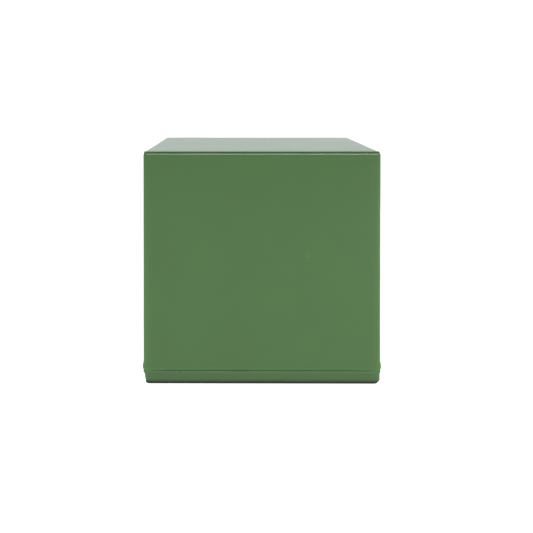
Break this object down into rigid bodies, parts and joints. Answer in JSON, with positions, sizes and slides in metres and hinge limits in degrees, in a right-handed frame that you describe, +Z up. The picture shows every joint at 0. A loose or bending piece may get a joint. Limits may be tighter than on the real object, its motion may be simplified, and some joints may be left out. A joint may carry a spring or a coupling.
{
  "type": "card deck box",
  "caption": "Upright rigid deck box for sleeved cards: a lined board tray with an L-shaped leatherette cover that folds at the base and top edge and shuts by a magnetic lip.",
  "frame": {"origin": "centre of the footprint, on the surface that the box stands on", "axes": "+Z up, -Y the hinge side with the crease above the base, +Y the opening side, X along the cover's width"},
  "size_m": [0.103, 0.082, 0.101],
  "materials": {
    "leatherette": "smooth satin coated leatherette",
    "microfibre": "brushed microfibre",
    "greyboard": "uncoated greyboard",
    "hinge_cloth": "woven binding cloth",
    "felt": "black felt",
    "magnet": "nickel plated"
  },
  "bodies": {
    "tray": {"base_pad": "felt", "base_board": "greyboard", "base_upper_board": "greyboard", "base_wrap": "leatherette", "front_wall_board": "greyboard", "back_wall_board": "greyboard", "left_wall_board": "greyboard", "right_wall_board": "greyboard", "tray_wrap": "leatherette", "floor_lining": "microfibre", "front_wall_lining": "microfibre", "back_wall_lining": "microfibre", "left_wall_lining": "microfibre", "right_wall_lining": "microfibre", "tray_magnets": "magnet", "crease_hinge": "leatherette", "crease_hinge_cloth": "hinge_cloth"},
    "back_panel": {"back_panel_board": "greyboard", "back_panel_wrap": "leatherette", "back_panel_lining": "microfibre", "top_crease_hinge": "leatherette", "top_crease_hinge_cloth": "hinge_cloth"},
    "top_panel": {"top_panel_board": "greyboard", "top_panel_wrap": "leatherette", "top_panel_lining": "microfibre", "lip_board": "greyboard", "lip_wrap": "leatherette", "lip_magnets": "magnet"}
  },
  "joints": [
    {"name": "cover_fold", "type": "hinge", "parent": "tray", "child": "back_panel", "pos_m": [0, -0.0405, 0.0057], "axis": [1, 0, 0], "range_deg": [0, 90], "deforming": ["crease_hinge", "crease_hinge_cloth"]},
    {"name": "top_fold", "type": "hinge", "parent": "back_panel", "child": "top_panel", "pos_m": [0, -0.03785, 0.1005], "axis": [1, 0, 0], "range_deg": [0, 90], "deforming": ["top_crease_hinge", "top_crease_hinge_cloth"]}
  ]
}
